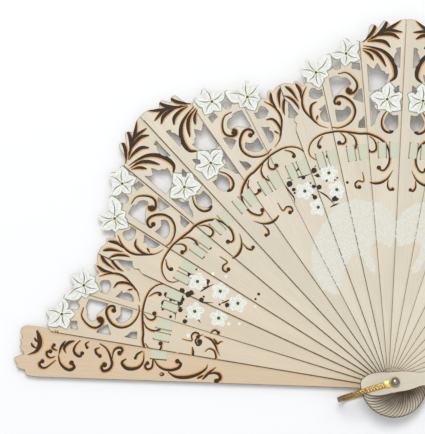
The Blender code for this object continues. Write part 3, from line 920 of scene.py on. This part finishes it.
def paint_cluster(painting, axis, hand, blossoms, twigs, buds, drops=()):
    """Blossoms, twigs and buds round one axis of one half."""
    for k, (u, v) in enumerate(pairs(blossoms)):
        paint_blossom(painting, beside(axis, hand, u, v), 1.3 * k)
    for flat in twigs:
        path = smooth_path([beside(axis, hand, u, v) for u, v in pairs(flat)], 4)
        painting.stroke(path, brush_widths(len(path), 0.95), INK)
    for k, (u, v, radius) in enumerate(triples(buds)):
        centre = beside(axis, hand, u, v)
        painting.disc(centre, radius * 1.12, INK, 9)
        if radius > 0.9:
            painting.disc(centre + polar(2.1 * k, radius * 0.75), radius * 0.55, INK, 7)
    for u, v, radius in triples(drops):
        painting.disc(beside(axis, hand, u, v), radius, PETAL, 10)


def inside(point, outline):
    crossings = 0
    for a, b in zip(outline, outline[1:] + outline[:1]):
        if (a.y > point.y) != (b.y > point.y):
            crossings += point.x < a.x + (point.y - a.y) / (b.y - a.y) * (b.x - a.x)
    return crossings % 2 == 1


def paint_lace(painting, axis, hand):
    """Fine pale lace: rows of small flowers, dots and curled sprigs inside its outline."""
    outline = [beside(axis, hand, u, v) for u, v in pairs(LACE_EDGE)]
    painting.add(outline, MIST)
    chance = random.Random(7)
    rise = LACE_STEP * LACE_ROW
    for row in range(int(LACE_TALL / rise)):
        for column in range(-LACE_COLUMNS, LACE_COLUMNS + 1):
            jitter = Vector((chance.uniform(-0.3, 0.3), chance.uniform(-0.3, 0.3)))
            turn, size, kind = chance.uniform(0, 6.3), chance.uniform(0.85, 1.15), chance.random()
            spot = Vector(((column + row % 2 / 2) * LACE_STEP, LACE_FROM + row * rise))
            spot = Matrix.Rotation(hand * PITCH * 2.1, 2) @ spot + jitter
            if not painting.near(spot) or not inside(spot, outline):
                continue
            if kind < 0.62:
                flower = [spot + polar(turn + k * math.tau / 10, size * (1.15, 0.5)[k % 2])
                          for k in range(10)]
                painting.add(flower, LACE)
            elif kind < 0.85:
                sprig = [spot + polar(turn + k * 0.75, 0.45 + 0.28 * k) for k in range(5)]
                painting.stroke(sprig, [0.22, 0.34, 0.4, 0.34, 0.2], LACE)
            else:
                painting.disc(spot, 0.42 * size, LACE, 7)
            painting.disc(spot + polar(turn + 0.3, LACE_STEP * 0.55), 0.24, LACE, 6)


# ---------------------------------------------------------------- blades
class FAN_OT_blades(bpy.types.Operator):
    """Cut the sticks and guards to their smooth pierced outlines"""
    bl_idname = "fan.blades"
    bl_label = "Blades"

    def execute(self, context):
        fan_materials()
        rounding = context.scene.fan_sizes.guard_round
        woods = {0: "guard_wood_finish", RIGHT_GUARD: "worn_guard_wood"}
        for index in range(RIGHT_GUARD + 1):
            name = blade_name(index)
            low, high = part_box(name)
            bm = plate(blade_loops(name), low.z, high.z, rounding if index in woods else 0.0)
            chart_blade(bm, index)
            add_piece(f"{name}_blade", bm, (woods.get(index, "pale_wood"), "burnt_edge"), name,
                      (name,))
        return {"FINISHED"}


class FAN_OT_painting(bpy.types.Operator):
    """Paint the flowers, fronds and scrolls on every blade"""
    bl_idname = "fan.painting"
    bl_label = "Painting"

    def execute(self, context):
        fan_materials()
        height = context.scene.fan_sizes.paint_height
        for index in range(RIGHT_GUARD + 1):
            name = blade_name(index)
            loops = blade_loops(name)
            painting = Painting(index, loops)
            painting.rims(loops)
            if index in (0, RIGHT_GUARD):
                self.paint_guard(painting, index)
            else:
                self.paint_stick(painting, index)
            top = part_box(name)[1].z
            bm = painting.mesh(top - height * 0.2, top + height)
            if bm:
                add_piece(f"{name}_painting", bm, [f"painted_{layer}" for layer in LAYERS],
                          name)
        return {"FINISHED"}

    def paint_guard(self, painting, index):
        hand = 1 if index == 0 else -1
        for stroke in GUARD_STROKES:
            paint_stroke(painting, stroke, lambda u, v: on_guard(u, v, index, hand), hand)

    def paint_stick(self, painting, index):
        """The ornament, then the blossoms, buds and lace, the same on both halves."""
        axis, mirrored = drawing_of(index)
        for stroke in FROND + SCROLLS:
            paint_stroke(painting, stroke, lambda u, v: on_fan(u, v, axis, mirrored),
                         -1 if mirrored else 1)
        for lily in LILIES:
            paint_lily(painting, lily, axis, mirrored)
        for hand, outer, inner in CLUSTER_AXES:
            if abs(index - outer) < CLUSTER_REACH:
                paint_cluster(painting, outer, hand, OUTER_BLOSSOMS, OUTER_TWIGS, OUTER_BUDS,
                              OUTER_DROPS)
                for stroke in OUTER_SCROLLS:
                    paint_stroke(painting, stroke, lambda u, v: beside(outer, hand, u, v), hand)
            if abs(index - inner) < CLUSTER_REACH:
                paint_cluster(painting, inner, hand, INNER_BLOSSOMS, INNER_TWIGS, INNER_BUDS)
                paint_lace(painting, inner, hand)


# ---------------------------------------------------------------- ribbon
def ribbon_path(index, thickness):
    """The ribbon's way past one blade, seen from its tail end: across and up, in millimetres."""
    front, back = thickness + RIBBON_LIFT, -RIBBON_LIFT
    half = EDGE_AT_RIVET + EDGE_SLOPE * RIBBON_RADIUS
    next_edge = RIBBON_RADIUS * math.sin(PITCH - edge_angle(RIBBON_RADIUS))
    ramp = RIBBON_RAMP
    if index == 0:
        slit = next_edge - GUARD_SLIT
        return [(slit - GUARD_HOLD, back), (slit - ramp, back), (slit + ramp, front),
                (next_edge + RIBBON_TUCK, front)]
    start = RIBBON_START - half
    if index == RIGHT_GUARD:
        return [(start, back), (start + GUARD_HOLD, back)]
    first, second, third = (offset - half for offset in SLIT_OFFSETS)
    return [(start, back), (first - ramp, back), (first + ramp, front), (second - ramp, front),
            (second + ramp, back), (third - ramp, back), (third + ramp, front),
            (next_edge + RIBBON_TUCK, front)]


def ribbon_strip(index, low, thickness):
    """A woven strip with looped edges, threaded through one blade's slits."""
    near_edge = RIBBON_RADIUS - RIBBON_WIDTH / 2
    bm = bmesh.new()
    verts = [bm.verts.new((x, near_edge, z)) for x, z in ribbon_path(index, thickness)]
    edges = [bm.edges.new(pair) for pair in zip(verts, verts[1:])]
    for edge in edges:
        level = abs(edge.verts[0].co.z - edge.verts[1].co.z) < 0.01
        cuts = int(edge.calc_length() / PICOT)
        if level and cuts:
            bmesh.ops.subdivide_edges(bm, edges=[edge], cuts=cuts)
    order = {round(x, 4): k for k, x in enumerate(sorted(v.co.x for v in bm.verts))}
    across = (0.0, RIBBON_HEM, RIBBON_WIDTH / 2, RIBBON_WIDTH - RIBBON_HEM, RIBBON_WIDTH)
    edges = bm.edges[:]
    for start, end in zip(across, across[1:]):
        grown = bmesh.ops.extrude_edge_only(bm, edges=edges)["geom"]
        edges = [item for item in grown if isinstance(item, bmesh.types.BMEdge)]
        moved = [item for item in grown if isinstance(item, bmesh.types.BMVert)]
        bmesh.ops.translate(bm, vec=(0, end - start, 0), verts=moved)
    for vert in bm.verts:
        side = vert.co.y - RIBBON_RADIUS
        if abs(side) > RIBBON_WIDTH / 2 - RIBBON_HEM / 2:
            inwards = order[round(vert.co.x, 4)] % 2
            vert.co.y += math.copysign(PICOT_DEPTH, side) * (-1 if inwards else 1)
    chart = bm.loops.layers.uv.new("Chart")
    for face in bm.faces:
        for loop in face.loops:
            place = loop.vert.co
            loop[chart].uv = ((place.x + RIBBON_SHIFT * index) * MM, place.y * MM)
    bmesh.ops.recalc_face_normals(bm, faces=bm.faces[:])
    bmesh.ops.solidify(bm, geom=bm.faces[:], thickness=RIBBON_THICKNESS)
    bmesh.ops.recalc_face_normals(bm, faces=bm.faces[:])
    bmesh.ops.transform(bm, verts=bm.verts[:], matrix=Matrix.Translation((0, 0, low))
                        @ Matrix.Rotation(blade_turn(index), 4, "Z") @ Matrix.Scale(MM, 4))
    return bm


class FAN_OT_ribbon(bpy.types.Operator):
    """Thread the silk ribbon through the blades"""
    bl_idname = "fan.ribbon"
    bl_label = "Ribbon"

    def execute(self, context):
        finish = Finish("ribbon_silk_weave", Specular_IOR_Level=0.3)
        chart = finish.chart()
        cord = chart.node("ShaderNodeTexWave", {"bands_direction": "X"},
                          {"Vector": chart, "Scale": 0.62, "Distortion": 0.6,
                           "Detail": 1.0, "Detail Scale": 2.0}, "Fac")
        cross = chart.node("ShaderNodeTexWave", {"bands_direction": "Y"},
                           {"Vector": chart, "Scale": 1.3, "Distortion": 0.4,
                            "Detail": 1.0}, "Fac")
        silk = context.scene.fan_colours.ribbon
        stripes = cord.ease(0.25, 0.75).between(tint(silk, 0.80), tint(silk, 1.08))
        finish.link("Base Color", (cross * 0.25).between(stripes, tint(silk, 0.85)))
        finish.link("Roughness", 0.45 + cord * 0.25)
        finish.bump(cord + cross * 0.5, 0.5, 0.05 * MM)
        ends = {0: "ribbon_left_end", RIGHT_GUARD: "ribbon_right_end"}
        for index in range(RIGHT_GUARD + 1):
            name = blade_name(index)
            low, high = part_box(name)
            node = ends.get(index, f"ribbon_{index:02d}")
            bm = ribbon_strip(index, low.z, (high.z - low.z) / MM)
            add_piece(f"{node}_silk", bm, ("ribbon_silk_weave",), name, (node,),
                      smooth=40)
        return {"FINISHED"}


# ---------------------------------------------------------------- rivet and bail
def turned(profile, steps):
    """A solid of revolution about Z from points of radius and height, in millimetres."""
    bm = bmesh.new()
    verts = [bm.verts.new((r * MM, 0, z * MM)) for r, z in profile]
    edges = [bm.edges.new(pair) for pair in zip(verts, verts[1:])]
    if profile[0][0] > 0:
        edges.append(bm.edges.new((verts[-1], verts[0])))
    bmesh.ops.spin(bm, geom=verts + edges, cent=(0, 0, 0), axis=(0, 0, 1), angle=math.tau,
                   steps=steps, use_merge=True)
    bmesh.ops.remove_doubles(bm, verts=bm.verts[:], dist=MERGE)
    bmesh.ops.recalc_face_normals(bm, faces=bm.faces[:])
    return bm


def quarter(centre_r, centre_z, radius, first, last, steps=6):
    """Points of an arc in a profile, between two angles in degrees."""
    return [(centre_r + radius * math.cos(math.radians(first + (last - first) * k / steps)),
             centre_z + radius * math.sin(math.radians(first + (last - first) * k / steps)))
            for k in range(steps + 1)]


def from_rivet(finish):
    """How far a point is from the rivet."""
    place = finish.place()
    return place.node("ShaderNodeVectorMath", {"operation": "LENGTH"}, {0: place}, "Value")


def metal_finishes():
    """Bright and tarnished brass, and polished steel."""
    if "bright_brass" in bpy.data.materials:
        return
    colours = bpy.context.scene.fan_colours
    # Each metal: bright and dull colour, roughness, and more wear far from the rivet.
    for name, colour, dull, rough, far_wear in (
            ("bright_brass", colours.brass, (0.20, 0.115, 0.05), 0.20, 0.32),
            ("tarnished_brass", tint(colours.brass, 0.62), (0.20, 0.12, 0.05), 0.34, 0.0),
            ("polished_steel", colours.steel, (0.34, 0.33, 0.32), 0.10, 0.0)):
        finish = Finish(name, Metallic=1.0)
        wear = finish.place().noise(0.9, 4.0, 0.6)
        if far_wear:
            wear = wear + from_rivet(finish).ease(*BAIL_DULLS) * far_wear
        finish.link("Base Color", (wear.ease(0.42, 0.90) * 0.92).between(colour, dull))
        finish.link("Roughness", rough + wear.ease(0.4, 0.8) * 0.22)
        finish.bump(wear, 0.15, 0.05 * MM)


def box_in_mm(node):
    return (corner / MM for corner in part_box(node))


class FAN_OT_rivet(bpy.types.Operator):
    """Turn the rivet, its washer and its bright dome"""
    bl_idname = "fan.rivet"
    bl_label = "Rivet"

    def execute(self, context):
        metal_finishes()
        steps = context.scene.fan_sizes.turned_steps
        low, high = box_in_mm("rivet_pin")
        head = high.x
        lip = low.z + PIN_LIP
        pin = ([(0, low.z), (head - 0.55, low.z)]
               + quarter(head - 0.45, low.z + 0.45, 0.45, -90, 0)
               + quarter(head - 0.12, lip - 0.12, 0.12, 0, 90, 3)
               + [(PIN_RADIUS, lip), (PIN_RADIUS, high.z), (0, high.z)])
        self.add_turned("rivet_pin", "turned", turned(pin, steps), "bright_brass", "gilt_brass")

        low, high = box_in_mm("rivet_washer")
        half = (high.z - low.z) / 2
        rim = high.x - half
        ring = ([(PIN_BORE, low.z), (rim, low.z)] + quarter(rim, low.z + half, half, -80, 80)
                + [(rim, high.z), (PIN_BORE, high.z)])
        bm = turned(ring, steps)
        self.add_beads(bm, high.x - half * 0.9, high.z - half * 0.6, half * 0.95)
        self.add_turned("rivet_washer", "beaded", bm, "tarnished_brass", "gilt_brass")

        low, high = box_in_mm("rivet_dome")
        foot = low.z + DOME_RIM
        crown = [(high.x * math.cos(math.radians(a)),
                  foot + (high.z - foot) * math.sin(math.radians(a))) for a in range(0, 90, 6)]
        dome = ([(0, low.z + 1.0), (PIN_BORE, low.z + 1.0), (PIN_BORE, low.z),
                 (high.x - 0.15, low.z), (high.x, low.z + 0.12)] + crown + [(0, high.z)])
        self.add_turned("rivet_dome", "polished", turned(dome, steps), "polished_steel",
                        "rivet_steel", 50)
        return {"FINISHED"}

    def add_turned(self, node, look, bm, material, slot, smooth=40):
        add_piece(f"{node}_{look}", bm, (material,), "left_guard", (node,), smooth)

    def add_beads(self, bm, ring, height, radius):
        """A ring of beads that almost touch."""
        count = int(math.tau * ring / (radius * 2.1))
        for k in range(count):
            spot = polar(math.tau * k / count, ring) * MM
            bmesh.ops.create_icosphere(bm, subdivisions=2, radius=radius * MM,
                                       matrix=Matrix.Translation((*spot, height * MM)))


class FAN_OT_bail(bpy.types.Operator):
    """Bend the brass bail and lay its leaf ornament"""
    bl_idname = "fan.bail"
    bl_label = "Bail"

    def execute(self, context):
        metal_finishes()
        low, high = box_in_mm("bail")
        front, rear = high.z - BAIL_THICKNESS / 2, low.z + BAIL_THICKNESS / 2
        core = (BAIL_THICKNESS * BAIL_CORE[0], BAIL_WIDTH * BAIL_CORE[1], 1, 1)
        bm = bmesh.new()
        rings = []
        for station in self.stations(front, rear):
            place = (self.at(*station) @ Matrix.Rotation(math.pi / 2, 4, "Y")
                     @ Matrix.Diagonal(core))
            ring = bmesh.ops.create_circle(bm, segments=14, radius=1.0, matrix=place)["verts"]
            rings.append(list({edge for vert in ring for edge in vert.link_edges}))
        for pair in zip(rings, rings[1:]):
            bmesh.ops.bridge_loops(bm, edges=pair[0] + pair[1])
        for ring in (rings[0], rings[-1]):
            bmesh.ops.contextual_create(bm, geom=ring)
        for face in bm.faces:
            face.material_index = 1
        self.add_leaves(bm, front, rear)
        for z in (front, rear):
            self.add_collar(bm, z)
            self.add_eye(bm, z)
        bmesh.ops.recalc_face_normals(bm, faces=bm.faces[:])
        bmesh.ops.transform(bm, verts=bm.verts[:], matrix=Matrix.Rotation(
            BAIL_TURN, 4, "Z") @ Matrix.Scale(MM, 4))
        add_piece("bail_embossed", bm, ("bright_brass", "tarnished_brass"), "bail",
                  ("bail",), smooth=45)
        return {"FINISHED"}

    def stations(self, front, rear, start=5.0, step=0.9, bend=20):
        """Places along the bail: distance from the rivet, height and tilt."""
        straight = BAIL_LENGTH - BAIL_BEND
        depth, rise = BAIL_BEND - BAIL_THICKNESS / 2, (front - rear) / 2
        count = int((straight - start) / step)
        arm = [start + (straight - start) * k / count for k in range(count)]
        found = [(along, front, 0.0) for along in arm]
        for k in range(bend + 1):
            angle = math.pi * k / bend
            found.append((straight + depth * math.sin(angle),
                          (front + rear) / 2 + rise * math.cos(angle),
                          math.atan2(-rise * math.sin(angle), depth * math.cos(angle))))
        return found + [(along, rear, math.pi) for along in reversed(arm)]

    def at(self, along, z, tilt):
        return Matrix.Translation((along, 0, z)) @ Matrix.Rotation(-tilt, 4, "Y")

    def add_leaves(self, bm, front, rear):
        """Pairs of small leaves with a bead between them, all along the outer face."""
        for station in self.stations(front, rear, 6.8, 1.7):
            base = self.at(*station) @ Matrix.Translation((0, 0, BAIL_THICKNESS * 0.33))
            for side in (-1, 1):
                self.blob(bm, base @ Matrix.Translation((0, side * BAIL_LEAF_SIDE, 0))
                          @ Matrix.Rotation(side * BAIL_LEAF_LEAN, 4, "Z"), BAIL_LEAF)
            self.blob(bm, base @ Matrix.Translation(BAIL_BEAD_PLACE), BAIL_BEAD)

    def blob(self, bm, place, size):
        bmesh.ops.create_icosphere(bm, subdivisions=2, radius=1.0,
                                   matrix=place @ Matrix.Diagonal((*size, 1)))

    def add_collar(self, bm, z):
        """The plain block beside the eye."""
        start, end = BAIL_COLLAR
        made = bmesh.ops.create_cube(bm, size=1.0, matrix=Matrix.Translation(
            ((start + end) / 2, 0, z)) @ Matrix.Diagonal(
                (end - start, BAIL_COLLAR_WIDTH, BAIL_THICKNESS, 1)))["verts"]
        bmesh.ops.bevel(bm, geom=list({e for v in made for e in v.link_edges}), offset=0.14,
                        segments=2, profile=0.5, affect="EDGES", material=-1)

    def add_eye(self, bm, z):
        """A flat ring that the rivet passes through."""
        half = BAIL_THICKNESS / 2
        corner = 0.2
        rim = BAIL_EYE - corner
        eye = turned([(PIN_BORE, -half), (rim, -half)]
                     + quarter(rim, -half + corner, corner, -90, 0, 3)
                     + quarter(rim, half - corner, corner, 0, 90, 3)
                     + [(PIN_BORE, half)], 40)
        bmesh.ops.transform(eye, verts=eye.verts[:], matrix=Matrix.Translation((0, 0, z))
                            @ Matrix.Scale(1 / MM, 4))
        part = bpy.data.meshes.new("eye")
        eye.to_mesh(part)
        eye.free()
        bm.from_mesh(part)
        bpy.data.meshes.remove(part)


# ---------------------------------------------------------------- stage
class FAN_OT_stage(bpy.types.Operator):
    """Add the pale floor, the soft lights and the camera"""
    bl_idname = "fan.stage"
    bl_label = "Stage"

    def execute(self, context):
        scene = context.scene
        scene.view_settings.view_transform = "Standard"
        floor = Finish("floor_white", Roughness=0.9)
        shade = floor.place().noise(0.02, 2.0, 0.5)
        floor.link("Base Color", shade.between((0.93, 0.93, 0.935), (0.95, 0.95, 0.95)))
        bm = bmesh.new()
        bmesh.ops.create_grid(bm, x_segments=2, y_segments=2, size=4.0)
        bmesh.ops.translate(bm, vec=(0, 0, -FLOOR_GAP * MM), verts=bm.verts[:])
        mesh = bpy.data.meshes.new("floor")
        bm.to_mesh(mesh)
        bm.free()
        mesh.materials.append(floor.material)
        ground = bpy.data.objects.new("floor", mesh)
        scene.collection.objects.link(ground)

        world = bpy.data.worlds.new("pale_room")
        world.use_nodes = True
        sky = world.node_tree.nodes["Background"]
        room = Value(world.node_tree, None)
        around = room.node("ShaderNodeTexCoord", output="Generated")
        height = room.node("ShaderNodeSeparateXYZ", {}, {0: around}, "Z")
        shade = height.ease(-0.1, 0.75).between((0.40, 0.41, 0.44), (0.95, 0.97, 1.0))
        world.node_tree.links.new(shade.socket, sky.inputs["Color"])
        sky.inputs["Strength"].default_value = ROOM_STRENGTH
        scene.world = world

        for name, spot, aim, size, power in LIGHTS:
            light = bpy.data.lights.new(name, "AREA")
            light.shape = "DISK"
            light.size = size
            light.energy = power
            lamp = bpy.data.objects.new(name, light)
            lamp.location = spot
            away = Vector(aim) - Vector(spot)
            lamp.rotation_euler = away.to_track_quat("-Z", "Y").to_euler()
            scene.collection.objects.link(lamp)

        camera = bpy.data.cameras.new("camera")
        camera.sensor_width = 36.0
        camera.lens = CAMERA_LENS
        camera.clip_start = 0.05
        camera.clip_end = 20.0
        viewer = bpy.data.objects.new("camera", camera)
        back = Vector((0, -math.cos(CAMERA_TILT), math.sin(CAMERA_TILT)))
        right = Vector((1, 0, 0))
        up = back.cross(right)
        roll = Matrix.Rotation(CAMERA_ROLL, 3, back)
        right, up = roll @ right, roll @ up
        turn = Matrix((right, up, back)).transposed()
        place = -(turn @ Vector(CAMERA_OFFSET)) * MM
        viewer.matrix_world = Matrix.Translation(place) @ turn.to_4x4()
        scene.collection.objects.link(viewer)
        scene.camera = viewer
        return {"FINISHED"}


class FAN_PT_panel(bpy.types.Panel):
    """The fan's steps, in the order in which they run"""
    bl_idname = "FAN_PT_panel"
    bl_label = "Fan"
    bl_space_type = "VIEW_3D"
    bl_region_type = "UI"
    bl_category = "Fan"

    def draw(self, context):
        for group in (context.scene.fan_sizes, context.scene.fan_colours):
            column = self.layout.column()
            for name in group.__annotations__:
                column.prop(group, name)
        for operator in OPERATORS:
            self.layout.operator(operator.bl_idname)


OPERATORS = (FAN_OT_blades, FAN_OT_painting, FAN_OT_ribbon, FAN_OT_rivet, FAN_OT_bail,
             FAN_OT_stage)
CLASSES = (FanSizes, FanColours) + OPERATORS + (FAN_PT_panel,)


def register():
    for item in CLASSES:
        bpy.utils.register_class(item)
    bpy.types.Scene.fan_sizes = PointerProperty(type=FanSizes)
    bpy.types.Scene.fan_colours = PointerProperty(type=FanColours)


def unregister():
    del bpy.types.Scene.fan_colours
    del bpy.types.Scene.fan_sizes
    for item in reversed(CLASSES):
        bpy.utils.unregister_class(item)


def main():
    register()
    bpy.ops.fan.blades()
    bpy.ops.fan.painting()
    bpy.ops.fan.ribbon()
    bpy.ops.fan.rivet()
    bpy.ops.fan.bail()
    bpy.ops.fan.stage()


if __name__ == "__main__":
    main()
